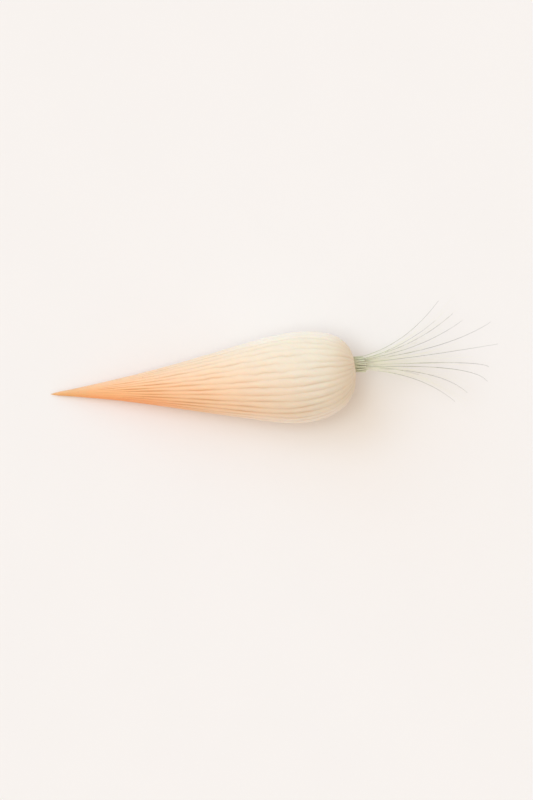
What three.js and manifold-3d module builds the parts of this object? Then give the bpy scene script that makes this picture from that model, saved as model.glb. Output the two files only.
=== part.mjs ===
// A carrot-shaped cake, lying on its side with a tuft of green threads in its crown.
//
// The cake is one ribbed solid: a fine tip, a taper that swells into the belly, and a domed crown whose ribs
// meet at a pole a little below its middle. Its underside has settled into a small flat. The greens are one
// bundle: short thick stalks packed in a socket in the crown, with long threads and finer wisps fanning out.
//
// Frame: millimetres, +Z up, +X from the tip to the crown, the origin on the flat that the cake rests on.
import * as THREE from "three";
import { mergeVertices } from "three/addons/utils/BufferGeometryUtils.js";
import Module from "manifold-3d";

const wasm = await Module();
wasm.setup();

// The body, measured along its own axis from the tip
const LENGTH = 180.2;
const BELLY_RADIUS = 25.9;
const BELLY_AT = 146;
const TIP_HANDLE = [80, 11.2]; // aims the taper as it leaves the tip: along the axis, and out from it
const BELLY_HANDLE_AT = 127; // aims the taper as it runs into the belly
const CROWN_LENGTH = LENGTH - BELLY_AT;
const CROWN_SQUARENESS = 2.7; // exponent of the crown's outline: 2 is an ellipse, more is squarer
const CROWN_LEAN = 2.7; // how far the end of the crown leans towards +Y
const BOW = 0.6; // how far the taper bows towards -Y

// The ribs
const RIBS = 35;
const FACETS_PER_RIB = 5;
const RIB_TURN = -1.2; // degrees, where the first groove lies round the body
const GROOVE_SHARE = 0.15; // depth of a groove as a share of the rib's width
const GROOVE_SHARPNESS = 2.6;
const WANDER_SHARE = 0.07; // how far a groove strays sideways, as a share of the rib's width
const WANDER_LENGTH = 62;
const TAPER_RINGS = 13;
const CROWN_RINGS = 11;

// The pole, where the ribs meet, lies off the axis, so that the greens leave it level with the table
const POLE_ASIDE = 2.6; // towards +Y
const POLE_DOWN = 9;
const POLE_REACH = 24; // radius of the ring where the ribs start to turn towards it

// How it lies
const TILT = 10; // degrees, the axis rising towards the crown
const SINK = 0.9; // depth of the flat pressed into the underside
const TIP_TO_ORIGIN = 126; // along the table

// The greens
const BUNCH_RADIUS = 4.8;
const SOCKET_DEPTH = 3.4;
const CLEARANCE = 0.3;
const CORE_LENGTH = 4;
const CORE_RADIUS = 3.8;
const STALKS = 19;
const STALK_RADIUS = 0.95;
const STALK_LENGTH = 7.2;
const THREAD_RADIUS = 0.22;
const WISPS = 11;
const WISP_RADIUS = 0.15;
// Where each long thread ends, from the pole, and at what share of the way it bends outwards:
// [out, to the side, up, bend]
const THREADS = [
  [51, 34.1, 6, 0.55],
  [48.3, 22.7, 16, 0.5],
  [59.5, 26.5, -6, 0.55],
  [64.3, 21.9, 15, 0.58],
  [81, 19.8, -2, 0.65],
  [84, 6.7, 14, 0.4],
  [78.6, -6.5, -8, 0.95],
  [76.4, -14.7, 10, 0.9],
  [65, -20.6, -12, 0.75],
  [57.2, -25.5, 2, 0.63],
  [36.7, -8.2, 12, 0.5],
];
const WIDEST = Math.max(...THREADS.map(([, side]) => Math.abs(side)));

const radians = THREE.MathUtils.degToRad;
const Y_AXIS = new THREE.Vector3(0, 1, 0);

/** A closed surface from one end point to the other through rings, which turn by the right-hand rule. */
function skin(start, rings, end) {
  const around = rings[0].length;
  const points = [start, ...rings.flat(), end];
  const last = points.length - 1;
  const faces = [];
  for (let j = 0; j < around; j++) {
    const k = (j + 1) % around;
    faces.push(0, 1 + k, 1 + j);
    for (let i = 0; i < rings.length - 1; i++) {
      const low = 1 + i * around;
      const high = low + around;
      faces.push(low + j, low + k, high + k, low + j, high + k, high + j);
    }
    faces.push(last, last - around + j, last - around + k);
  }
  const geometry = new THREE.BufferGeometry().setFromPoints(points);
  geometry.setIndex(faces);
  return geometry;
}

/** A geometry as a manifold-3d solid. */
function solid(geometry) {
  const bare = geometry.clone();
  bare.deleteAttribute("normal");
  bare.deleteAttribute("uv");
  const merged = mergeVertices(bare, 1e-4);
  return new wasm.Manifold(
    new wasm.Mesh({
      numProp: 3,
      vertProperties: merged.attributes.position.array,
      triVerts: new Uint32Array(merged.index.array),
    }),
  );
}

/** A manifold-3d solid as a named mesh with flat faces. */
function meshOf(name, made, material) {
  const { vertProperties, triVerts } = made.getMesh();
  const geometry = new THREE.BufferGeometry();
  geometry.setAttribute("position", new THREE.BufferAttribute(vertProperties, 3));
  geometry.setIndex(new THREE.BufferAttribute(triVerts, 1));
  const flat = geometry.toNonIndexed();
  flat.computeVertexNormals();
  const mesh = new THREE.Mesh(flat, material);
  mesh.name = name;
  return mesh;
}

// ---- the cake: its points are worked out with the tip at 0 and the axis along +X ----

const taper = new THREE.CubicBezierCurve(
  new THREE.Vector2(0, 0),
  new THREE.Vector2(...TIP_HANDLE),
  new THREE.Vector2(BELLY_HANDLE_AT, BELLY_RADIUS),
  new THREE.Vector2(BELLY_AT, BELLY_RADIUS),
);

/** How far the middle of the body strays towards +Y. */
function stray(along) {
  if (along < BELLY_AT) return -BOW * Math.sin((Math.PI * along) / BELLY_AT) ** 2;
  return CROWN_LEAN * ((along - BELLY_AT) / CROWN_LENGTH) ** 2;
}

/** How far the relief takes the surface in, at a point of a ring of this radius. */
function grooveDrop(index, ringRadius) {
  const across = (index % FACETS_PER_RIB) / FACETS_PER_RIB; // 0 in a groove
  const fromCrest = Math.abs(1 - 2 * across);
  const ribWidth = (2 * Math.PI * ringRadius) / RIBS;
  return GROOVE_SHARE * ribWidth * fromCrest ** GROOVE_SHARPNESS;
}

/** The angle round the body of a point of a ring, with the grooves straying a little. */
function angleAt(index, along) {
  const rib = Math.round(index / FACETS_PER_RIB) % RIBS;
  const wander = Math.sin((2 * Math.PI * along) / WANDER_LENGTH + 2.4 * rib);
  const ribsRound = index / FACETS_PER_RIB + WANDER_SHARE * wander;
  return radians(RIB_TURN) + (2 * Math.PI * ribsRound) / RIBS;
}

/** A point of the taper: t runs from 0 at the tip to 1 at the belly. */
function taperPoint(t, index) {
  const { x: along, y: radius } = taper.getPoint(t);
  const angle = angleAt(index, along);
  const out = radius - grooveDrop(index, radius);
  return new THREE.Vector3(along, stray(along) + out * Math.cos(angle), out * Math.sin(angle));
}

/** A point of the crown: t runs from 0 at the belly to 1 at the pole. */
function crownPoint(t, index) {
  const forward = Math.sin((t * Math.PI) / 2);
  const across = Math.cos((t * Math.PI) / 2);
  const reach = (forward ** CROWN_SQUARENESS + across ** CROWN_SQUARENESS) ** (-1 / CROWN_SQUARENESS);
  const radius = BELLY_RADIUS * across * reach;
  const angle = angleAt(index, BELLY_AT + t * CROWN_LENGTH);
  // The ring moves towards the pole over the crown's own outline
  const drawn = THREE.MathUtils.smoothstep(1 - radius / POLE_REACH, 0, 1);
  const side = radius * Math.cos(angle) + POLE_ASIDE * drawn;
  const up = radius * Math.sin(angle) - POLE_DOWN * drawn;
  const share = Math.min(Math.hypot(side, up) / BELLY_RADIUS, 1);
  const along = CROWN_LENGTH * (1 - share ** CROWN_SQUARENESS) ** (1 / CROWN_SQUARENESS);
  const point = new THREE.Vector3(along, side, up);
  point.setLength(point.length() - grooveDrop(index, radius));
  point.x += BELLY_AT;
  point.y += stray(point.x);
  return point;
}

/** How far below the level of its tip the tilted body hangs. */
function hangBelowTip() {
  const heights = taper
    .getPoints(200)
    .map(({ x, y }) => y * Math.cos(radians(TILT)) - x * Math.sin(radians(TILT)));
  return Math.max(...heights);
}

const TIP_HEIGHT = hangBelowTip() - SINK;

/** A point of the body as it lies on the table. */
function lay(point) {
  point.applyAxisAngle(Y_AXIS, -radians(TILT));
  return point.add(new THREE.Vector3(-TIP_TO_ORIGIN, 0, TIP_HEIGHT));
}

const POLE = lay(crownPoint(1, 0));

/** The whole ribbed body, before the flat and the socket are cut. */
function ribbedBody() {
  const indices = [...Array(RIBS * FACETS_PER_RIB).keys()];
  const rings = [];
  for (let i = 1; i <= TAPER_RINGS; i++) {
    rings.push(indices.map((index) => lay(taperPoint(i / TAPER_RINGS, index))));
  }
  for (let i = 1; i < CROWN_RINGS; i++) {
    rings.push(indices.map((index) => lay(crownPoint(i / CROWN_RINGS, index))));
  }
  return skin(lay(new THREE.Vector3(0, 0, 0)), rings, POLE);
}

/** A level cylinder out from the pole, between two distances along X. */
function cylinder(radius, from, to, sides) {
  return new THREE.CylinderGeometry(radius, radius, to - from, sides)
    .rotateZ(Math.PI / 2)
    .translate(POLE.x + (from + to) / 2, POLE.y, POLE.z);
}

function makeCake() {
  const below = new THREE.BoxGeometry(3 * LENGTH, LENGTH, LENGTH).translate(0, 0, -LENGTH / 2);
  const past = 10; // the socket's cutter runs out past the crown
  const socket = cylinder(BUNCH_RADIUS + CLEARANCE, -SOCKET_DEPTH, past, 32);
  const made = solid(ribbedBody()).subtract(solid(below)).subtract(solid(socket));
  return meshOf(
    "cake",
    made,
    new THREE.MeshStandardMaterial({ color: 0xf4d3ae, roughness: 0.7, metalness: 0 }),
  );
}

// ---- the greens ----

/** A point given from the pole: how far out, to the side and up. */
function fromPole(out, side, up) {
  return POLE.clone().add(new THREE.Vector3(out, side, up));
}

/** A closed tube along a curve; radiusAt gives its radius at a share of the length. */
function taperedTube(curve, radiusAt, sides, steps) {
  const frames = curve.computeFrenetFrames(steps, false);
  const rings = [];
  for (let i = 0; i <= steps; i++) {
    const ring = [];
    for (let j = 0; j < sides; j++) {
      const angle = (2 * Math.PI * j) / sides;
      const point = curve.getPointAt(i / steps);
      point.addScaledVector(frames.normals[i], radiusAt(i / steps) * Math.cos(angle));
      point.addScaledVector(frames.binormals[i], radiusAt(i / steps) * Math.sin(angle));
      ring.push(point);
    }
    rings.push(ring);
  }
  return skin(curve.getPointAt(0), rings, curve.getPointAt(1));
}

/** One thread: it leaves the bunch straight and bends out to its end. */
function thread([out, side, up, bend], radius, sides, steps) {
  const seat = (0.7 * BUNCH_RADIUS) / WIDEST;
  const curve = new THREE.QuadraticBezierCurve3(
    fromPole(0.6 - SOCKET_DEPTH, side * seat, up * seat),
    fromPole(out * bend, side * 2 * seat, up * 2 * seat),
    fromPole(out, side, up),
  );
  return taperedTube(curve, (share) => radius * (1 - 0.6 * share ** 3), sides, steps);
}

/** One short thick stalk of the bunch; the stalks lean together towards their ends. */
function stalk(index) {
  const radius = (BUNCH_RADIUS - STALK_RADIUS) * Math.sqrt(index / (STALKS - 1));
  const angle = index * radians(137.5);
  const side = radius * Math.cos(angle);
  const up = radius * Math.sin(angle);
  const length = STALK_LENGTH * (0.8 + 0.3 * THREE.MathUtils.seededRandom(index + 11));
  const curve = new THREE.QuadraticBezierCurve3(
    fromPole(CLEARANCE - SOCKET_DEPTH, side, up),
    fromPole(0.3 * length, side, up),
    fromPole(length, 0.8 * side, 0.8 * up),
  );
  return taperedTube(curve, (share) => STALK_RADIUS * (1 - 0.35 * share), 6, 3);
}

/** A wisp's end and bend: somewhere in the fan that the long threads make. */
function wispEnd(index) {
  const random = (salt) => THREE.MathUtils.seededRandom(97 * index + salt);
  const angle = radians(-24 + (56 * (index + random(1))) / WISPS);
  const reach = 40 + 26 * random(2);
  return [reach * Math.cos(angle), reach * Math.sin(angle), -12 + 26 * random(3), 0.6];
}

function makeGreens() {
  const coreStart = CLEARANCE - SOCKET_DEPTH;
  let made = solid(cylinder(CORE_RADIUS, coreStart, coreStart + CORE_LENGTH, 12));
  for (let i = 0; i < STALKS; i++) {
    made = made.add(solid(stalk(i)));
  }
  for (const way of THREADS) {
    made = made.add(solid(thread(way, THREAD_RADIUS, 5, 12)));
  }
  for (let i = 0; i < WISPS; i++) {
    made = made.add(solid(thread(wispEnd(i), WISP_RADIUS, 4, 9)));
  }
  return meshOf(
    "greens",
    made,
    new THREE.MeshStandardMaterial({ color: 0x8a9a6c, roughness: 0.6, metalness: 0 }),
  );
}

const cakeWithGreens = new THREE.Group();
cakeWithGreens.add(makeCake(), makeGreens());

export default cakeWithGreens;
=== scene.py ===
"""A carrot-shaped cake with a tuft of green threads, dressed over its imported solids.

The frame is metres, +Z up, +X from the tip to the crown, with the origin on the flat that the cake
rests on.
"""

import logging  # noqa: E402
import math  # noqa: E402
import random  # noqa: E402
from dataclasses import dataclass, field  # noqa: E402
from enum import Enum  # noqa: E402
from typing import Optional, Union  # noqa: E402

import bpy  # noqa: E402
import numpy as np  # noqa: E402
from mathutils import Matrix, Vector  # noqa: E402


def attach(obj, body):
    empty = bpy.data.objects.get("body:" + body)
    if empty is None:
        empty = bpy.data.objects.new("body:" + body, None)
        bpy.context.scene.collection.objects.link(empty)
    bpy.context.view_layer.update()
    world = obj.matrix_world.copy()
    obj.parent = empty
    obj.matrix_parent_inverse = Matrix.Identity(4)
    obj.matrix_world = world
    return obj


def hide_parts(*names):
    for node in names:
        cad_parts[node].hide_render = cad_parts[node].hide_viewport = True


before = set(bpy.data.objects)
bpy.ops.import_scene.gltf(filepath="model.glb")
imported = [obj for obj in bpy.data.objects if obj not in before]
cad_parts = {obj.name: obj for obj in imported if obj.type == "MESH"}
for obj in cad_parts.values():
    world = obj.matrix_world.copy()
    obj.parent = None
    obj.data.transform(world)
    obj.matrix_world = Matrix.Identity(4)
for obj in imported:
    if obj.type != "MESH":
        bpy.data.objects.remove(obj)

log = logging.getLogger("cake")

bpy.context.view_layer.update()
MM = 0.001
SEAM = 0.001 * MM
FULL_TURN = 2 * math.pi
ORIGIN = (0.0, 0.0, 0.0)

Colour = tuple[float, float, float, float]
Point = tuple[float, float, float]
Span = tuple[float, float]
Fade = tuple[float, float, float]


class Slot(Enum):
    """The two material slots, by name."""

    CAKE = "cake"
    GREENS = "greens"


def tint(red: int, green: int, blue: int) -> Colour:
    """A screen colour as the shader wants it.

    Args:
        red: red, 0 to 255.
        green: green, 0 to 255.
        blue: blue, 0 to 255.

    Returns:
        The colour in linear light, with full alpha.
    """
    parts = [part / 255 for part in (red, green, blue)]
    return (*(p / 12.92 if p <= 0.04045 else ((p + 0.055) / 1.055) ** 2.4 for p in parts), 1.0)


def smooth(share: np.ndarray) -> np.ndarray:
    """An even rise from 0 to 1, level at both ends.

    Args:
        share: the way along, clipped to 0 to 1.

    Returns:
        The height of the rise.
    """
    held = np.clip(share, 0, 1)
    return held * held * (3 - 2 * held)


# ---- shader graphs ----


class Value:
    """A number socket of a shader graph, on which Python's operators add Math nodes."""

    def __init__(self, graph: "Graph", socket: bpy.types.NodeSocket) -> None:
        """Wraps a socket of the graph."""
        self.graph = graph
        self.socket = socket

    def _math(self, operation: str, *parts: "Number") -> "Value":
        """Adds a Math node.

        Args:
            operation: the node's operation.
            parts: its inputs, in order.

        Returns:
            The node's result.
        """
        node = self.graph.node("ShaderNodeMath", {"operation": operation}, dict(enumerate(parts)))
        return Value(self.graph, node.outputs[0])

    def __add__(self, other: "Number") -> "Value":
        """This plus other."""
        return self._math("ADD", self, other)

    __radd__ = __add__

    def __sub__(self, other: "Number") -> "Value":
        """This minus other."""
        return self._math("SUBTRACT", self, other)

    def __rsub__(self, other: "Number") -> "Value":
        """Other minus this."""
        return self._math("SUBTRACT", other, self)

    def __mul__(self, other: "Number") -> "Value":
        """This times other."""
        return self._math("MULTIPLY", self, other)

    __rmul__ = __mul__

    def __truediv__(self, other: "Number") -> "Value":
        """This divided by other."""
        return self._math("DIVIDE", self, other)

    def __pow__(self, power: "Number") -> "Value":
        """This to a power."""
        return self._math("POWER", self, power)

    def rise(self, start: float, end: float) -> "Value":
        """A smooth rise as this goes from start to end.

        Args:
            start: where the rise begins.
            end: where it is complete.

        Returns:
            0 before start and 1 after end.
        """
        node = self.graph.node(
            "ShaderNodeMapRange",
            {"interpolation_type": "SMOOTHSTEP"},
            {"Value": self, "From Min": start, "From Max": end},
        )
        return Value(self.graph, node.outputs["Result"])

    def fall(self, start: float, end: float, loss: float = 1.0) -> "Value":
        """A smooth fall as this goes from start to end.

        Args:
            start: where the fall begins.
            end: where it is complete.
            loss: how much is gone by then.

        Returns:
            1 before start and 1 less the loss after end.
        """
        return 1 - loss * self.rise(start, end)


Number = Union[float, Value]


class Graph:
    """A material and the nodes that are added to it."""

    def __init__(self, name: str) -> None:
        """Makes an empty material.

        Args:
            name: what it is called.
        """
        self.material = bpy.data.materials.new(name)
        self.material.use_nodes = True
        self.material.node_tree.nodes.clear()

    def node(self, kind: str, settings: dict, inputs: dict) -> bpy.types.Node:
        """Adds one node.

        Args:
            kind: the node's type.
            settings: its properties, set first.
            inputs: a value or a link for each socket, by name or number.

        Returns:
            The node.
        """
        made = self.material.node_tree.nodes.new(kind)
        for name, setting in settings.items():
            setattr(made, name, setting)
        for name, given in inputs.items():
            socket = made.inputs[name]
            if isinstance(given, Value):
                given = given.socket
            if isinstance(given, bpy.types.NodeSocket):
                self.material.node_tree.links.new(given, socket)
            else:
                socket.default_value = given
        return made

    def place(self, stretch: Point = (1, 1, 1)) -> bpy.types.NodeSocket:
        """The surface's own coordinates.

        Args:
            stretch: how much they are scaled along X, Y and Z.

        Returns:
            The coordinates' socket.
        """
        where = self.node("ShaderNodeTexCoord", {}, {})
        mapped = self.node(
            "ShaderNodeMapping", {}, {"Vector": where.outputs["Object"], "Scale": stretch}
        )
        return mapped.outputs["Vector"]

    def mark(self, name: str) -> Value:
        """What a mesh attribute says at the surface."""
        node = self.node("ShaderNodeAttribute", {"attribute_name": name}, {})
        return Value(self, node.outputs["Fac"])

    def noise(self, where: bpy.types.NodeSocket, size: float, detail: float = 2.0) -> Value:
        """Soft noise between 0 and 1.

        Args:
            where: the coordinates.
            size: the size of its blotches in metres.
            detail: how many finer layers it has.

        Returns:
            The noise.
        """
        node = self.node(
            "ShaderNodeTexNoise", {}, {"Vector": where, "Scale": 1 / size, "Detail": detail}
        )
        return Value(self, node.outputs["Fac"])

    def specks(self, where: bpy.types.NodeSocket, spacing: float) -> Value:
        """The distance from the middle of the nearest of many scattered points, in spacings."""
        node = self.node("ShaderNodeTexVoronoi", {}, {"Vector": where, "Scale": 1 / spacing})
        return Value(self, node.outputs["Distance"])

    def mix(
        self, share: Number, first: object, second: object, blend: str = "MIX"
    ) -> bpy.types.NodeSocket:
        """Mixes two colours.

        Args:
            share: how much of the second.
            first: a colour or a colour socket.
            second: a colour or a colour socket.
            blend: how they are mixed.

        Returns:
            The mixed colour's socket.
        """
        colours, share_socket, first_socket, second_socket = 2, 0, 6, 7
        node = self.node(
            "ShaderNodeMix",
            {"data_type": "RGBA", "blend_type": blend},
            {share_socket: share, first_socket: first, second_socket: second},
        )
        return node.outputs[colours]

    def shade(self, body: bpy.types.NodeSocket, level: Value, depth: float) -> bpy.types.NodeSocket:
        """Darkens and lightens a colour evenly.

        Args:
            body: the colour's socket.
            level: 0 where it is darkest and 1 where it is lightest.
            depth: how far apart the two are.

        Returns:
            The shaded colour's socket.
        """
        grey = 1 - depth / 2 + depth * level
        node = self.node("ShaderNodeCombineColor", {}, {"Red": grey, "Green": grey, "Blue": grey})
        return self.mix(1.0, body, node.outputs["Color"], "MULTIPLY")

    def bump(self, height: Value, depth: float) -> bpy.types.NodeSocket:
        """Small relief as a normal: height 0 to 1 stands for depth metres."""
        node = self.node("ShaderNodeBump", {}, {"Height": height, "Distance": depth})
        return node.outputs["Normal"]

    def finish(self, sockets: dict) -> bpy.types.Material:
        """Ends the graph in a Principled shader.

        Args:
            sockets: a value or a link for each of the shader's sockets.

        Returns:
            The material.
        """
        shader = self.node("ShaderNodeBsdfPrincipled", {}, sockets)
        self.node("ShaderNodeOutputMaterial", {}, {"Surface": shader.outputs["BSDF"]})
        return self.material


# ---- finishes ----


@dataclass(frozen=True)
class IcingFinish:
    """Matt icing, orange at the tip and fading to cream, and paler towards the lit +Y side.

    The pallor is partly the icing's own colour and partly a painted highlight. A deeper orange on the
    taper's shaded side is partly the icing's colour and partly painted shade, and a painted highlight
    lies round the belly's edges and on the crown. Painted shade darkens the grooves, most of all on the
    shaded side. A span gives where something begins and is complete, and a fade also gives how much of
    it is
    lost: along the cake from 0 at the tip to 1 at the crown, and across it from -1 on one side to 1 on
    the other.
    """

    tip: Colour = tint(233, 173, 113)
    apricot: Colour = tint(250, 185, 129)
    apricot_along: Span = (0.01, 0.24)
    peach: Colour = tint(245, 204, 166)
    peach_along: Span = (0.19, 0.66)
    cream: Colour = tint(235, 212, 186)
    cream_along: Span = (0.54, 0.84)
    crown: Colour = tint(232, 218, 198)
    crown_along: Span = (0.78, 0.91)
    blotch_size: float = 14 * MM
    blotch_shift: float = 0.05
    # Paler towards the lit +Y side: partly the icing's own colour, partly a painted highlight.
    pallor_and_highlight: Colour = tint(244, 233, 211)
    pallor_and_highlight_across: Span = (-0.5, 1.84)
    pallor_and_highlight_at_tip: float = 0.22
    pallor_and_highlight_growth: float = 1.22
    # Deeper orange on the taper's shaded -Y side: partly the icing's own colour, partly painted shade.
    blush_and_shade: Colour = tint(255, 153, 90)
    blush_and_shade_across: Span = (0.35, 1.0)
    blush_and_shade_along: Span = (0.04, 0.14)
    blush_and_shade_fade: Span = (0.3, 0.5)
    blush_and_shade_share: float = 0.5
    # A painted highlight round the belly's edges and over the crown.
    rim_highlight: Colour = tint(255, 249, 242)
    rim_highlight_edge: Span = (0.6, 1.0)
    rim_highlight_along: Span = (0.45, 0.75)
    rim_highlight_share: float = 0.5
    rim_highlight_crown: Span = (0.85, 1.0)
    rim_highlight_crown_share: float = 0.35
    # Painted shade in the grooves, weaker on the lit +Y side and stronger on the shaded side.
    groove_shade: Colour = tint(223, 200, 173)
    groove_shade_along: Span = (0.1, 0.26)
    groove_shade_share: float = 1.2
    groove_shade_sharpness: float = 1.5
    groove_shade_lean: float = 0.85
    belly_fade: Fade = (0.3, 0.8, 0.67)
    crown_fade: Fade = (0.85, 0.95, 0.3)
    upper_along: Span = (0.1, 0.6)
    upper_across: Span = (0.05, 0.9)
    upper_fade: Fade = (0.85, 0.98, 0.5)
    upper_loss: float = 0.6
    lower_along: Span = (0.15, 0.7)
    lower_across: Span = (-0.8, -0.1)
    lower_left: float = 0.35
    mottle_size: float = 6 * MM
    mottle_depth: float = 0.06
    fleck: Colour = tint(190, 110, 70)
    fleck_spacing: float = 4.5 * MM
    fleck_edge: Span = (0.03, 0.10)
    fleck_fade: Span = (0.4, 0.6)
    fleck_share: float = 0.3
    grain_size: float = 0.9 * MM
    grain_detail: float = 3
    grain_depth: float = 0.08 * MM

    def _faded(self, graph: Graph, where: bpy.types.NodeSocket, along: Value) -> bpy.types.NodeSocket:
        """The colours from the tip to the crown, with soft blotchy borders.

        Args:
            graph: the material's graph.
            where: the coordinates.
            along: the way from the tip to the crown.

        Returns:
            The colour's socket.
        """
        blotch = graph.noise(where, self.blotch_size) - 0.5
        fade = along + blotch * self.blotch_shift
        body = graph.mix(fade.rise(*self.apricot_along), self.tip, self.apricot)
        body = graph.mix(fade.rise(*self.peach_along), body, self.peach)
        body = graph.mix(fade.rise(*self.cream_along), body, self.cream)
        return graph.mix(fade.rise(*self.crown_along), body, self.crown)

    def _washed(
        self, graph: Graph, body: bpy.types.NodeSocket, along: Value, side: Value
    ) -> bpy.types.NodeSocket:
        """Lays painted highlights, painted shade and the lit side's pallor over the body's colour.

        Args:
            graph: the material's graph.
            body: the body's colour.
            along: the way from the tip to the crown.
            side: the way across.

        Returns:
            The colour's socket.
        """
        # Paler towards the lit +Y side, more so towards the crown: partly the icing's colour, partly a
        # painted highlight.
        pallor_and_highlight = side.rise(*self.pallor_and_highlight_across) * (self.pallor_and_highlight_at_tip + self.pallor_and_highlight_growth * along)
        body = graph.mix(pallor_and_highlight, body, self.pallor_and_highlight)
        # Deeper orange on the taper's shaded -Y side: partly the icing's colour, partly painted shade.
        blush_and_shade = (-1 * side).rise(*self.blush_and_shade_across) * along.rise(*self.blush_and_shade_along)
        blush_and_shade = blush_and_shade * along.fall(*self.blush_and_shade_fade) * self.blush_and_shade_share
        body = graph.mix(blush_and_shade, body, self.blush_and_shade)
        # A painted highlight round the belly's edges and over the crown.
        edge = side * side + self.rim_highlight_crown_share * along.rise(*self.rim_highlight_crown)
        rim_highlight = edge.rise(*self.rim_highlight_edge) * along.rise(*self.rim_highlight_along)
        return graph.mix(rim_highlight * self.rim_highlight_share, body, self.rim_highlight)

    def _groove_shade(self, along: Value, side: Value, groove: Value) -> Value:
        """How much painted shade darkens the grooves, less on the lit side and more on the shaded side.

        Args:
            along: the way from the tip to the crown.
            side: the way across.
            groove: how deep in a groove the surface is.

        Returns:
            The share of the painted groove shade.
        """
        # The painted groove shade is weakened on the lit +Y side and strengthened on the shaded side.
        upper = (side + self.groove_shade_lean * along.rise(*self.upper_along)).rise(*self.upper_across)
        upper = upper * along.fall(*self.upper_fade)
        lower = (side + self.groove_shade_lean * along.rise(*self.lower_along)).rise(*self.lower_across)
        band = (1 - self.upper_loss * upper) * (self.lower_left + (1 - self.lower_left) * lower)
        kept = along.fall(*self.belly_fade) * along.fall(*self.crown_fade)
        sunk = self.groove_shade_share * groove**self.groove_shade_sharpness * along.rise(*self.groove_shade_along)
        return sunk * kept * band

    def build(self) -> bpy.types.Material:
        """Makes the material.

        Returns:
            The material.
        """
        graph = Graph("icing")
        where = graph.place()
        along = graph.mark("along")
        side = graph.mark("side")
        groove = graph.mark("groove")
        body = self._washed(graph, self._faded(graph, where, along), along, side)
        # Painted shade darkens the grooves.
        body = graph.mix(self._groove_shade(along, side, groove), body, self.groove_shade, "MULTIPLY")
        body = graph.shade(body, graph.noise(where, self.mottle_size), self.mottle_depth)
        fleck = graph.specks(where, self.fleck_spacing).fall(*self.fleck_edge) * self.fleck_share
        body = graph.mix(fleck * along.fall(*self.fleck_fade), body, self.fleck)
        grain = graph.noise(where, self.grain_size, self.grain_detail)
        return graph.finish(
            {
                "Base Color": body,
                "Roughness": 0.62,
                "Subsurface Weight": 0.25,
                "Subsurface Radius": (1.0, 0.5, 0.28),
                "Subsurface Scale": 3 * MM,
                "Specular IOR Level": 0.35,
                "Sheen Weight": 0.6,
                "Sheen Roughness": 0.25,
                "Sheen Tint": tint(255, 246, 235),
                "Normal": graph.bump(grain, self.grain_depth),
            }
        )


@dataclass(frozen=True)
class GreensFinish:
    """Fine matt threads, whose colour goes from root to end over a reach that starts at the crown."""

    name: str
    root: Colour
    end: Colour
    start: float
    reach: float
    streak_size: float = 0.8 * MM
    streak_stretch: float = 0.12
    streak_depth: float = 0.44

    def build(self) -> bpy.types.Material:
        """Makes the material.

        Returns:
            The material.
        """
        graph = Graph(self.name)
        split = graph.node("ShaderNodeSeparateXYZ", {}, {"Vector": graph.place()})
        along = (Value(graph, split.outputs["X"]) - self.start) / self.reach
        streak = graph.noise(graph.place((self.streak_stretch, 1, 1)), self.streak_size)
        body = graph.mix(along.rise(0, 1), self.root, self.end)
        body = graph.shade(body, streak, self.streak_depth)
        return graph.finish(
            {
                "Base Color": body,
                "Roughness": 0.55,
                "Subsurface Weight": 0.1,
                "Subsurface Radius": (0.5, 1.0, 0.4),
                "Subsurface Scale": 0.3 * MM,
                "Specular IOR Level": 0.3,
            }
        )


@dataclass(frozen=True)
class FloorFinish:
    """A plain pale matt board with faint clouds."""

    colour: Colour = tint(243, 238, 235)
    cloud: Colour = tint(232, 228, 226)
    cloud_size: float = 60 * MM
    cloud_edge: Span = (0.3, 0.7)
    cloud_share: float = 0.06

    def build(self) -> bpy.types.Material:
        """Makes the material.

        Returns:
            The material.
        """
        graph = Graph("floor")
        cloud = graph.noise(graph.place(), self.cloud_size).rise(*self.cloud_edge)
        body = graph.mix(cloud * self.cloud_share, self.colour, self.cloud)
        return graph.finish({"Base Color": body, "Roughness": 0.9, "Specular IOR Level": 0.1})


# ---- modelling helpers ----


def only(piece: bpy.types.Object) -> None:
    """Selects one piece alone and makes it active.

    Args:
        piece: the mesh object.
    """
    bpy.ops.object.select_all(action="DESELECT")
    piece.select_set(True)
    bpy.context.view_layer.objects.active = piece


def places(piece: bpy.types.Object) -> np.ndarray:
    """Where a piece's vertices are.

    Args:
        piece: the mesh object.

    Returns:
        One row of X, Y and Z for each vertex.
    """
    flat = np.empty(3 * len(piece.data.vertices))
    piece.data.vertices.foreach_get("co", flat)
    return flat.reshape(-1, 3)


def move_to(piece: bpy.types.Object, rows: np.ndarray) -> None:
    """Puts the piece's vertices at these rows."""
    piece.data.vertices.foreach_set("co", rows.ravel())
    piece.data.update()


def edit(piece: bpy.types.Object, chosen: np.ndarray) -> None:
    """Opens the piece in edit mode with only the chosen vertices selected.

    Args:
        piece: the mesh object.
        chosen: a true or false for each vertex.
    """
    only(piece)
    bpy.ops.object.mode_set(mode="EDIT")
    bpy.ops.mesh.select_mode(type="VERT")
    bpy.ops.mesh.select_all(action="DESELECT")
    bpy.ops.object.mode_set(mode="OBJECT")
    piece.data.vertices.foreach_set("select", chosen)
    bpy.ops.object.mode_set(mode="EDIT")


def close_seams(piece: bpy.types.Object, gap: float = SEAM) -> None:
    """Merges doubled vertices and turns the faces outwards.

    Args:
        piece: the mesh object.
        gap: how close two vertices are that become one.
    """
    edit(piece, np.ones(len(piece.data.vertices), bool))
    bpy.ops.mesh.remove_doubles(threshold=gap)
    bpy.ops.mesh.normals_make_consistent(inside=False)
    bpy.ops.object.mode_set(mode="OBJECT")


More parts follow.
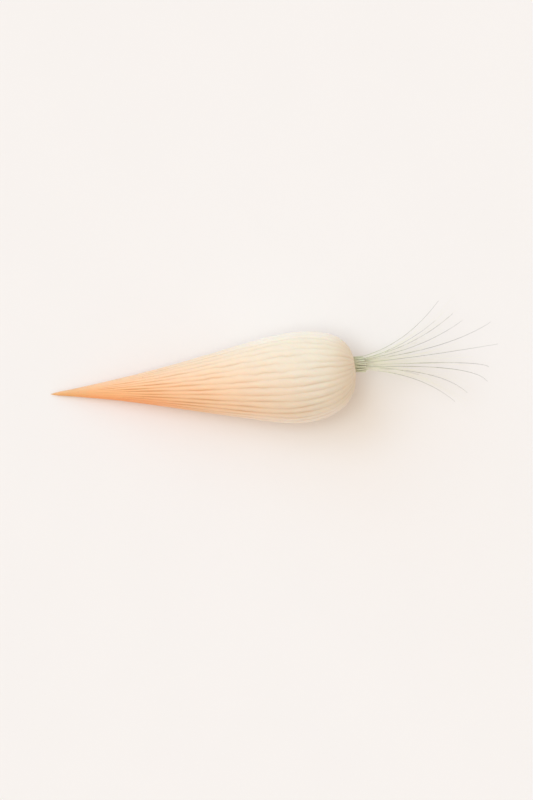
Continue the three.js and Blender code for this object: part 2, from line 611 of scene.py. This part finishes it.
def write_mark(piece: bpy.types.Object, name: str, numbers: np.ndarray) -> None:
    """Stores one number for each vertex as an attribute of the mesh."""
    mark = piece.data.attributes.new(name, "FLOAT", "POINT")
    mark.data.foreach_set("value", numbers.astype(np.float32))


def dress(
    piece: bpy.types.Object, name: str, finish: bpy.types.Material, node: str
) -> None:
    """Names and finishes a piece, hides the part that it replaces and parents it to the root body.

    Args:
        piece: the mesh object.
        name: what it is called.
        finish: its material.
        node: the node of the part that it replaces.
    """
    piece.name = name
    piece.data.name = name
    piece.data.materials.clear()
    piece.data.materials.append(finish)
    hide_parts(node)
    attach(piece, "root")
    log.info("%s: %d faces", name, len(piece.data.polygons))


# ---- the cake ----


@dataclass(frozen=True)
class Grooves:
    """What sets the grooves apart, a number for each: phase, depth, length of ripple and unrest."""

    phase: np.ndarray
    vigour: np.ndarray
    pace: np.ndarray
    unrest: np.ndarray


@dataclass
class RibbedCake:
    """The cake: a turned body with grooves pressed in, leaning at the crown and lying on its flat.

    Sizes are measured along its own axis from the tip, before it is laid down.
    """

    length: float = 180.8 * MM
    belly_radius: float = 26.7 * MM
    belly_at: float = 146 * MM
    tip_handle: tuple[float, float] = (80 * MM, 11.5 * MM)
    belly_handle_at: float = 127 * MM
    tip_fullness: float = 0.46 * MM
    tip_aside: float = 0.35 * MM
    tip_part: float = 50 * MM
    tip_point: float = 1.5 * MM
    crown_fullness: float = 0.70
    crown_lean: float = 1.8 * MM
    crown_lean_power: float = 1.3
    bow: float = 0.45 * MM
    ribs: int = 35
    steps_per_rib: int = 12
    rings: int = 96
    rib_turn: float = math.radians(-1.2)
    groove_share: float = 0.15
    groove_sharpness: float = 1.9
    belly_flattening: float = 0.25
    seed: int = 7
    vigour: Span = (0.72, 1.15)
    vigour_waver: float = 0.28
    waver_pace: float = 0.55
    waver_phase: float = 1.7
    strongest_groove: float = 1.4
    wander_share: float = 0.1
    wander_length: float = 62 * MM
    wander_part: float = 0.7
    wander_phase: float = 2.4
    ripple_length: float = 14 * MM
    ripple_pace: Span = (0.8, 1.5)
    ripple_unrest: Span = (0.5, 1.1)
    ripple_part: float = 0.65
    fine_ripple_part: float = 0.5
    fine_ripple_pace: float = 0.57
    stillest: float = 0.25
    lump_size: float = 9 * MM
    lump_height: float = 0.25 * MM
    pole_aside: float = 3.7 * MM
    pole_down: float = 9 * MM
    pole_reach: float = 24 * MM
    socket_radius: float = 4.9 * MM
    socket_depth: float = 3.4 * MM
    lip: float = 0.9 * MM
    tilt: float = math.radians(10)
    sink: float = 0.9 * MM
    tip_to_origin: float = 126 * MM
    piece: bpy.types.Object = field(init=False)
    pole: Vector = field(init=False)

    def _hang(self) -> float:
        """How far the tilted body hangs, by its outline from the tip to the belly.

        Returns:
            The drop of its lowest point below the level of its tip.
        """
        share = np.linspace(0, 1, 201)
        rest = 1 - share
        handle = 3 * rest * share * share
        along = 3 * rest**2 * share * self.tip_handle[0] + handle * self.belly_handle_at
        out = 3 * rest**2 * share * self.tip_handle[1] + handle * self.belly_radius
        along += share**3 * self.belly_at
        out += share**3 * self.belly_radius
        return float(np.max(out * math.cos(self.tilt) - along * math.sin(self.tilt)))

    def _laid(self) -> Matrix:
        """The turn and the move that lay the body down."""
        move = Matrix.Translation((-self.tip_to_origin, 0, self._hang() - self.sink))
        return move @ Matrix.Rotation(-self.tilt, 4, "Y")

    def _turned_body(self) -> None:
        """Draws half of the outline as a curve and turns it once round the axis."""
        crown = self.length - self.belly_at
        shoulder = self.crown_fullness * crown
        knots = [
            ((0, 0), (0, 0), self.tip_handle),
            (
                (self.belly_at, self.belly_radius),
                (self.belly_handle_at, self.belly_radius),
                (self.belly_at + shoulder, self.belly_radius),
            ),
            (
                (self.length, 0),
                (self.length, self.crown_fullness * self.belly_radius),
                (self.length, 0),
            ),
        ]
        bpy.ops.object.select_all(action="DESELECT")
        bpy.ops.curve.primitive_bezier_curve_add(location=ORIGIN)
        outline = bpy.context.object
        outline.data.resolution_u = self.rings
        points = outline.data.splines[0].bezier_points
        points.add(len(knots) - len(points))
        for point, (middle, before, after) in zip(points, knots):
            point.handle_left_type = point.handle_right_type = "FREE"
            point.co = (*middle, 0)
            point.handle_left = (*before, 0)
            point.handle_right = (*after, 0)
        bpy.ops.object.convert(target="MESH")
        self.piece = bpy.context.object
        bpy.ops.object.modifier_add(type="SCREW")
        turning = self.piece.modifiers[-1]
        turning.axis = "X"
        turning.steps = turning.render_steps = self.ribs * self.steps_per_rib
        turning.use_merge_vertices = True
        turning.merge_threshold = SEAM
        bpy.ops.object.modifier_apply(modifier=turning.name)
        close_seams(self.piece)

    def _draw_grooves(self) -> Grooves:
        """Draws what sets the grooves apart. Those on the side away from +Y ripple less.

        Returns:
            The numbers of all grooves.
        """
        draw = np.random.default_rng(self.seed)
        aside = np.cos(FULL_TURN * np.arange(self.ribs) / self.ribs)
        stir = self.stillest + (1 - self.stillest) * smooth(0.8 + 2 * aside)
        return Grooves(
            phase=draw.uniform(0, FULL_TURN, self.ribs),
            vigour=draw.uniform(*self.vigour, self.ribs),
            pace=self.ripple_length * draw.uniform(*self.ripple_pace, self.ribs),
            unrest=draw.uniform(*self.ripple_unrest, self.ribs) * stir,
        )

    def _stray(
        self, grooves: Grooves, which: np.ndarray, along: np.ndarray, grown: np.ndarray
    ) -> np.ndarray:
        """How far grooves stray sideways.

        Args:
            grooves: what sets them apart.
            which: the number of the groove for each vertex.
            along: how far along the axis each vertex is.
            grown: how much of the ripple each vertex has.

        Returns:
            The way that each vertex's groove strays, in ribs.
        """
        which = which % self.ribs
        phase = grooves.phase[which]
        long_wave = np.sin(FULL_TURN * along / self.wander_length + self.wander_phase * which)
        ripple = np.sin(FULL_TURN * along / grooves.pace[which] + phase)
        fine_length = self.fine_ripple_pace * self.ripple_length
        ripple += self.fine_ripple_part * np.sin(FULL_TURN * along / fine_length + 3 * phase)
        unrest = self.ripple_part * grooves.unrest[which] * grown
        return self.wander_share * (self.wander_part * long_wave + unrest * ripple)

    def _gather(
        self, rows: np.ndarray, along: np.ndarray, radius: np.ndarray, angle: np.ndarray
    ) -> None:
        """Turns the vertices to their angles, and on the crown draws them together at the pole.

        Args:
            rows: the vertices, which are changed.
            along: how far along the axis each vertex is.
            radius: how far from the axis.
            angle: its angle round the axis.
        """
        crown = along > self.belly_at
        drawn = smooth(1 - radius / self.pole_reach) * crown
        rows[:, 1] = radius * np.cos(angle) + self.pole_aside * drawn
        rows[:, 2] = radius * np.sin(angle) - self.pole_down * drawn
        reach = np.hypot(rows[:, 1], rows[:, 2])
        outwards = np.argsort(radius[crown])
        rows[crown, 0] = np.interp(reach[crown], radius[crown][outwards], along[crown][outwards])
        move_to(self.piece, rows)

    def _press_grooves(self) -> None:
        """Fills out the tip, shapes the ribs and presses uneven grooves between them."""
        rounding = 1e-4
        narrowest = 0.1 * MM
        rows = places(self.piece)
        along = rows[:, 0].copy()
        radius = np.hypot(rows[:, 1], rows[:, 2])
        fullness = self.tip_fullness * (1 - smooth(along / self.tip_part))
        radius += fullness * smooth(along / (3 * self.tip_point))
        turns = (np.arctan2(rows[:, 2], rows[:, 1]) / FULL_TURN * self.ribs) % self.ribs
        before = np.floor(turns + rounding).astype(int)
        across = turns - before
        grooves = self._draw_grooves()
        grown = smooth(2 * radius / self.belly_radius - 0.5)
        share = smooth(across)
        shift = (1 - share) * self._stray(grooves, before, along, grown)
        shift += share * self._stray(grooves, before + 1, along, grown)
        self._gather(rows, along, radius, self.rib_turn + FULL_TURN * (turns + shift) / self.ribs)

        nearest = np.round(turns).astype(int) % self.ribs
        phase = self.waver_phase * grooves.phase[nearest]
        waver_length = self.waver_pace * self.wander_length
        waver = 1 + self.vigour_waver * np.sin(FULL_TURN * along / waver_length + phase)
        groove = np.abs(1 - 2 * across) ** self.groove_sharpness * grooves.vigour[nearest] * waver
        widest = FULL_TURN * self.belly_radius / self.ribs
        deepest = self.strongest_groove * self.groove_share * widest
        flattening = 1 - self.belly_flattening * smooth(radius / self.belly_radius)
        drop = self.groove_share * flattening * FULL_TURN * radius / self.ribs * groove
        self._displace("grooves", -deepest, drop / deepest)
        lumps = bpy.data.textures.new("lumps", type="CLOUDS")
        lumps.noise_scale = self.lump_size
        self._displace("lumps", self.lump_height, smooth(2 * radius / self.belly_radius), lumps)
        half_width = np.where(along > self.belly_at, self.belly_radius, np.fmax(radius, narrowest))
        write_mark(self.piece, "along", along / self.length)
        write_mark(self.piece, "side", rows[:, 1] / half_width)
        write_mark(self.piece, "groove", groove)

    def _displace(
        self,
        name: str,
        strength: float,
        shares: np.ndarray,
        texture: Optional[bpy.types.Texture] = None,
        direction: str = "NORMAL",
    ) -> None:
        """Moves the skin with a modifier, and applies it.

        Args:
            name: what the move is called.
            strength: how far.
            shares: the share of the move for each vertex.
            texture: what varies it, or None.
            direction: NORMAL for outwards, or an axis.
        """
        group = self.piece.vertex_groups.new(name=name)
        for index, share in enumerate(shares):
            group.add([index], float(share), "REPLACE")
        only(self.piece)
        bpy.ops.object.modifier_add(type="DISPLACE")
        press = self.piece.modifiers[-1]
        press.direction = direction
        press.strength = strength
        press.vertex_group = name
        press.texture = texture
        press.mid_level = 0.5 if texture else 0.0
        bpy.ops.object.modifier_apply(modifier=press.name)

    def _lean(self) -> None:
        """Bows the taper to one side, leans the crown to the other and draws out the tip."""
        rows = places(self.piece)
        share = rows[:, 0] / self.belly_at
        past = np.clip((rows[:, 0] - self.belly_at) / (self.length - self.belly_at), 0, None)
        bowed = -self.bow * np.sin(math.pi * share) ** 2
        rows[:, 1] += np.where(share < 1, bowed, self.crown_lean * past**self.crown_lean_power)
        rows[:, 1] -= self.tip_aside * (1 - smooth(rows[:, 0] / self.tip_part))
        rows[:, 0] -= self.tip_point * (1 - smooth(rows[:, 0] / (8 * self.tip_point)))
        move_to(self.piece, rows)

    def _lay(self) -> None:
        """Lays the body down on the table and cuts its flat."""
        only(self.piece)
        self.piece.matrix_world = self._laid()
        bpy.ops.object.transform_apply(location=True, rotation=True, scale=True)
        edit(self.piece, np.ones(len(self.piece.data.vertices), bool))
        bpy.ops.mesh.bisect(
            plane_co=ORIGIN, plane_no=(0, 0, 1), use_fill=True, clear_inner=True, threshold=SEAM
        )
        bpy.ops.object.mode_set(mode="OBJECT")

    def _sink_socket(self) -> None:
        """Sinks a level socket for the stalks into the crown, with a soft lip."""
        ends = np.empty(len(self.piece.data.vertices))
        self.piece.data.attributes["along"].data.foreach_get("value", ends)
        rows = places(self.piece)
        self.pole = Vector(rows[ends.argmax()])
        from_pole = np.hypot(rows[:, 1] - self.pole.y, rows[:, 2] - self.pole.z)
        sunk = smooth((self.socket_radius + self.lip - from_pole) / self.lip) * (rows[:, 0] > 0)
        self._displace("socket", -self.socket_depth, sunk, direction="X")

    def build(self, finish: bpy.types.Material) -> None:
        """Models the cake and dresses it.

        Args:
            finish: the icing.
        """
        self._turned_body()
        self._press_grooves()
        self._lean()
        self._lay()
        self._sink_socket()
        bpy.ops.object.shade_smooth_by_angle(angle=math.radians(50))
        dress(self.piece, "ribbed_cake", finish, "cake")


# ---- the greens ----


@dataclass(frozen=True)
class Strand:
    """One thread of the tuft: where it starts, bends and ends, and its radius on the way."""

    start: Vector
    knee: Vector
    end: Vector
    radius: float
    taper: float


@dataclass
class Greens:
    """The tuft: stalks packed in the socket, long threads, and finer ones between them.

    The long threads' ends are given in millimetres from the pole: along the table, to the side and up,
    then the share of the way at which the thread bends outwards. The finer ones are drawn in a fan,
    given in degrees from +X and in millimetres up. Each pair of colours is for the crown and for the
    end of the fading.
    """

    pole: Vector
    socket_depth: float
    bunch_radius: float = 4.8 * MM
    clearance: float = 0.3 * MM
    core_share: float = 0.86
    core_sides: int = 24
    core_steps: tuple[Span, ...] = ((2.4 * MM, 1.0), (1.6 * MM, 0.9), (0.9 * MM, 0.7), (0.5 * MM, 0.5))
    stalks: int = 36
    stalk_turn: float = math.radians(137.5)
    stalk_radius: float = 0.76 * MM
    stalk_girth: Span = (0.85, 1.1)
    stalk_taper: float = 0.45
    stalk_length: float = 6.0 * MM
    stalk_reach: Span = (0.75, 1.2)
    stalk_spread: Span = (1.08, 1.24)
    stalk_knee: float = 0.35
    stalk_knee_spread: float = 1.06
    thread_lift: float = 0.6 * MM
    thread_radius: float = 0.16 * MM
    thread_taper: float = 0.26
    fine_threads: int = 26
    fine_radius: float = 0.09 * MM
    fine_reach: Span = (34 * MM, 74 * MM)
    mist_threads: int = 110
    mist_radius: float = 0.05 * MM
    mist_reach: Span = (18 * MM, 72 * MM)
    fan_start: float = -25
    fan_width: float = 57
    fan_rise: Span = (-12, 14)
    fan_bend: Span = (0.45, 0.75)
    seat: float = 0.7
    bunch_colours: tuple[Colour, Colour] = (tint(205, 206, 179), tint(224, 223, 203))
    bunch_fading: float = 8 * MM
    long_colours: tuple[Colour, Colour] = (tint(200, 203, 178), tint(102, 95, 86))
    pale_colours: tuple[Colour, Colour] = (tint(248, 247, 228), tint(240, 236, 216))
    thread_fading: float = 60 * MM
    threads: tuple[tuple[float, float, float, float], ...] = (
        (51, 34.1, 6, 0.55),
        (48.3, 22.7, 16, 0.5),
        (59.5, 26.5, -6, 0.55),
        (64.3, 21.9, 15, 0.58),
        (81, 19.8, -2, 0.65),
        (84, 6.7, 14, 0.4),
        (78.6, -6.5, -8, 0.95),
        (76.4, -14.7, 10, 0.9),
        (65, -20.6, -12, 0.75),
        (57.2, -25.5, 2, 0.63),
        (36.7, -8.2, 12, 0.5),
    )
    seed: int = 19
    draw: random.Random = field(init=False)

    def __post_init__(self) -> None:
        """Seeds the draws."""
        self.draw = random.Random(self.seed)

    def _from_pole(self, out: float, side: float, up: float) -> Vector:
        """A point given from the pole: how far out, to the side and up."""
        return self.pole + Vector((out, side, up))

    def _thread(
        self, out: float, side: float, up: float, bend: float, radius: float, taper: float = 0.4
    ) -> Strand:
        """A thread that leaves the bunch straight and bends out to its end.

        Args:
            out: how far out it ends, from the pole.
            side: where it ends to the side.
            up: how high it ends above the pole.
            bend: the share of the way at which it bends.
            radius: its radius at the bunch.
            taper: the share of its radius that is left at its end.

        Returns:
            The thread.
        """
        widest = max(abs(end[1]) for end in self.threads) * MM
        seat = self.seat * self.bunch_radius / widest
        return Strand(
            self._from_pole(self.thread_lift - self.socket_depth, side * seat, up * seat),
            self._from_pole(out * bend, side * 2 * seat, up * 2 * seat),
            self._from_pole(out, side, up),
            radius,
            taper,
        )

    def _stalks(self) -> list[Strand]:
        """Short thick stalks, packed like seeds in a flower's head and thinning into threads.

        Returns:
            The stalks.
        """
        made = []
        for index in range(self.stalks):
            out = (self.bunch_radius - self.stalk_radius) * math.sqrt(index / (self.stalks - 1))
            angle = index * self.stalk_turn
            side = out * math.cos(angle)
            up = out * math.sin(angle)
            length = self.stalk_length * self.draw.uniform(*self.stalk_reach)
            spread = self.draw.uniform(*self.stalk_spread)
            bent = self.stalk_knee_spread
            made.append(
                Strand(
                    self._from_pole(self.clearance - self.socket_depth, side, up),
                    self._from_pole(self.stalk_knee * length, bent * side, bent * up),
                    self._from_pole(length, spread * side, spread * up),
                    self.stalk_radius * self.draw.uniform(*self.stalk_girth),
                    self.stalk_taper,
                )
            )
        return made

    def _fan(self, count: int, radius: float, reaches: Span) -> list[Strand]:
        """Threads drawn at random in the fan that the long threads make.

        Args:
            count: how many.
            radius: their radius at the bunch.
            reaches: the shortest and the longest reach past the pole.

        Returns:
            The threads.
        """
        made = []
        for index in range(count):
            turn = self.fan_start + self.fan_width * (index + self.draw.random()) / count
            angle = math.radians(turn)
            reach = self.draw.uniform(*reaches)
            up = self.draw.uniform(*self.fan_rise) * MM * reach / reaches[1]
            bend = self.draw.uniform(*self.fan_bend)
            made.append(
                self._thread(reach * math.cos(angle), reach * math.sin(angle), up, bend, radius)
            )
        return made

    def _solid(self, strands: list[Strand], sides: int, steps: int) -> bpy.types.Object:
        """Models strands as tubes on one curve and makes them a mesh.

        Args:
            strands: the strands.
            sides: how many sides a tube has: an even number, 4 or more.
            steps: how many steps a tube takes.

        Returns:
            The closed mesh.
        """
        bpy.ops.object.select_all(action="DESELECT")
        bpy.ops.curve.primitive_bezier_curve_add(location=ORIGIN)
        tubes = bpy.context.object
        curve = tubes.data
        curve.splines.clear()
        curve.dimensions = "3D"
        curve.bevel_depth = 1.0
        curve.bevel_resolution = (sides - 4) // 2
        curve.resolution_u = steps
        curve.use_fill_caps = True
        for strand in strands:
            spline = curve.splines.new("BEZIER")
            spline.bezier_points.add(1)
            first, last = spline.bezier_points
            for point, place, ending in ((first, strand.start, 1.0), (last, strand.end, strand.taper)):
                point.handle_left_type = point.handle_right_type = "FREE"
                point.co = place
                point.handle_left = point.handle_right = place
                point.radius = strand.radius * ending
            first.handle_right = strand.start.lerp(strand.knee, 2 / 3)
            last.handle_left = strand.end.lerp(strand.knee, 2 / 3)
        bpy.ops.object.convert(target="MESH")
        close_seams(tubes, 0.0001 * MM)
        bpy.ops.object.shade_smooth_by_angle(angle=math.radians(60))
        return tubes

    def _core(self) -> bpy.types.Object:
        """Models the butt that the stalks grow from, narrowed and rounded towards its end.

        Returns:
            The closed mesh.
        """
        bpy.ops.object.select_all(action="DESELECT")
        bpy.ops.mesh.primitive_circle_add(
            vertices=self.core_sides,
            radius=self.bunch_radius * self.core_share,
            fill_type="NGON",
            location=ORIGIN,
        )
        plug = bpy.context.object
        bpy.ops.object.mode_set(mode="EDIT")
        for step, narrowing in self.core_steps:
            bpy.ops.mesh.extrude_region_move(TRANSFORM_OT_translate={"value": (0, 0, step)})
            bpy.ops.transform.resize(value=(narrowing, narrowing, 1), center_override=ORIGIN)
        bpy.ops.object.mode_set(mode="OBJECT")
        foot = Matrix.Translation(self._from_pole(self.clearance - self.socket_depth, 0, 0))
        plug.matrix_world = foot @ Matrix.Rotation(math.pi / 2, 4, "Y")
        bpy.ops.object.transform_apply(location=True, rotation=True, scale=True)
        close_seams(plug)
        return plug

    def build(self) -> None:
        """Models the tuft's pieces and dresses them."""
        start = self.pole.x
        bunch = GreensFinish("bunch_green", *self.bunch_colours, start, self.bunch_fading)
        long = GreensFinish("long_green", *self.long_colours, start, self.thread_fading)
        pale = GreensFinish("pale_green", *self.pale_colours, start, self.thread_fading)
        core = self._core()
        bunched = self._solid(self._stalks(), sides=8, steps=8)
        only(bunched)
        core.select_set(True)
        bpy.ops.object.join()
        dress(bunched, "stalk_bunch", bunch.build(), "greens")
        ways = [
            self._thread(out * MM, side * MM, up * MM, bend, self.thread_radius, self.thread_taper)
            for out, side, up, bend in self.threads
        ]
        long_threads = self._solid(ways, sides=8, steps=24)
        dress(long_threads, "long_threads", long.build(), "greens")
        pale_finish = pale.build()
        fan = self._fan(self.fine_threads, self.fine_radius, self.fine_reach)
        fine_threads = self._solid(fan, sides=6, steps=16)
        dress(fine_threads, "fine_threads", pale_finish, "greens")
        fan = self._fan(self.mist_threads, self.mist_radius, self.mist_reach)
        mist_threads = self._solid(fan, sides=4, steps=10)
        dress(mist_threads, "mist_threads", pale_finish, "greens")


# ---- the studio ----


@dataclass(frozen=True)
class SoftLight:
    """A broad light far away.

    It stands so many degrees round the cake from the crown's end and above the table, and looks so many
    degrees across.
    """

    name: str
    turn: float
    rise: float
    spread: float
    strength: float
    colour: Colour

    def towards(self) -> Vector:
        """The way from the cake to the light.

        Returns:
            The way, of length 1.
        """
        turn = math.radians(self.turn)
        rise = math.radians(self.rise)
        away = math.cos(rise)
        return Vector((away * math.cos(turn), away * math.sin(turn), math.sin(rise)))


@dataclass
class Studio:
    """A pale floor, soft lights from one side, a light room, and a long lens straight above."""

    view_middle: tuple[float, float] = (-0.55 * MM, -11.9 * MM)
    view_height: float = 468 * MM
    view_turn: float = math.radians(-3.68)
    camera_height: float = 4.0
    focus_height: float = 26 * MM
    sensor_width: float = 36.0
    floor_size: float = 12.0
    floor_gap: float = 0.05 * MM
    lights: tuple[SoftLight, ...] = (
        SoftLight("top_light", 180, 80, 30, 0.65, tint(237, 254, 255)),
        SoftLight("slant_light", 150, 58, 40, 0.71, tint(214, 233, 255)),
        SoftLight("side_light", 135, 30, 60, 0.92, tint(124, 204, 255)),
    )
    room_colour: Colour = tint(254, 235, 216)
    room_strength: float = 0.73

    def _floor(self) -> None:
        """Lays the floor just under the cake."""
        bpy.ops.object.select_all(action="DESELECT")
        bpy.ops.mesh.primitive_plane_add(size=self.floor_size, location=(0, 0, -self.floor_gap))
        floor = bpy.context.object
        bpy.ops.object.transform_apply(location=True, rotation=True, scale=True)
        floor.name = "floor"
        floor.data.materials.append(FloorFinish().build())

    def _lights(self) -> None:
        """Sets the soft lights and the light from all round."""
        for soft in self.lights:
            towards = soft.towards()
            bpy.ops.object.light_add(type="SUN", location=towards)
            light = bpy.context.object
            light.name = soft.name
            light.rotation_euler = towards.to_track_quat("Z", "Y").to_euler()
            light.data.angle = math.radians(soft.spread)
            light.data.energy = soft.strength
            light.data.color = soft.colour[:3]
        world = bpy.data.worlds.new("soft_room")
        world.use_nodes = True
        room = world.node_tree.nodes["Background"]
        room.inputs["Color"].default_value = self.room_colour
        room.inputs["Strength"].default_value = self.room_strength
        bpy.context.scene.world = world

    def _camera(self) -> None:
        """Hangs the camera straight above, turned a little, with its lens set to the view's height."""
        away = self.camera_height - self.focus_height
        place = (*self.view_middle, self.camera_height)
        bpy.ops.object.camera_add(location=place, rotation=(0, 0, self.view_turn))
        camera = bpy.context.object
        camera.name = "camera"
        camera.data.sensor_width = self.sensor_width
        camera.data.lens = camera.data.sensor_width * away / self.view_height
        camera.data.clip_end = 2 * self.camera_height
        bpy.context.scene.camera = camera

    def build(self) -> None:
        """Sets up the floor, the lights, the camera and the plain view transform."""
        self._floor()
        self._lights()
        self._camera()
        bpy.context.scene.view_settings.view_transform = "Standard"
        bpy.context.scene.view_settings.look = "None"


def main() -> None:
    """Builds the scene."""
    logging.basicConfig(level=logging.INFO, format="%(message)s")
    Studio().build()
    cake = RibbedCake()
    cake.build(IcingFinish().build())
    Greens(cake.pole, cake.socket_depth).build()


if __name__ == "__main__":
    main()
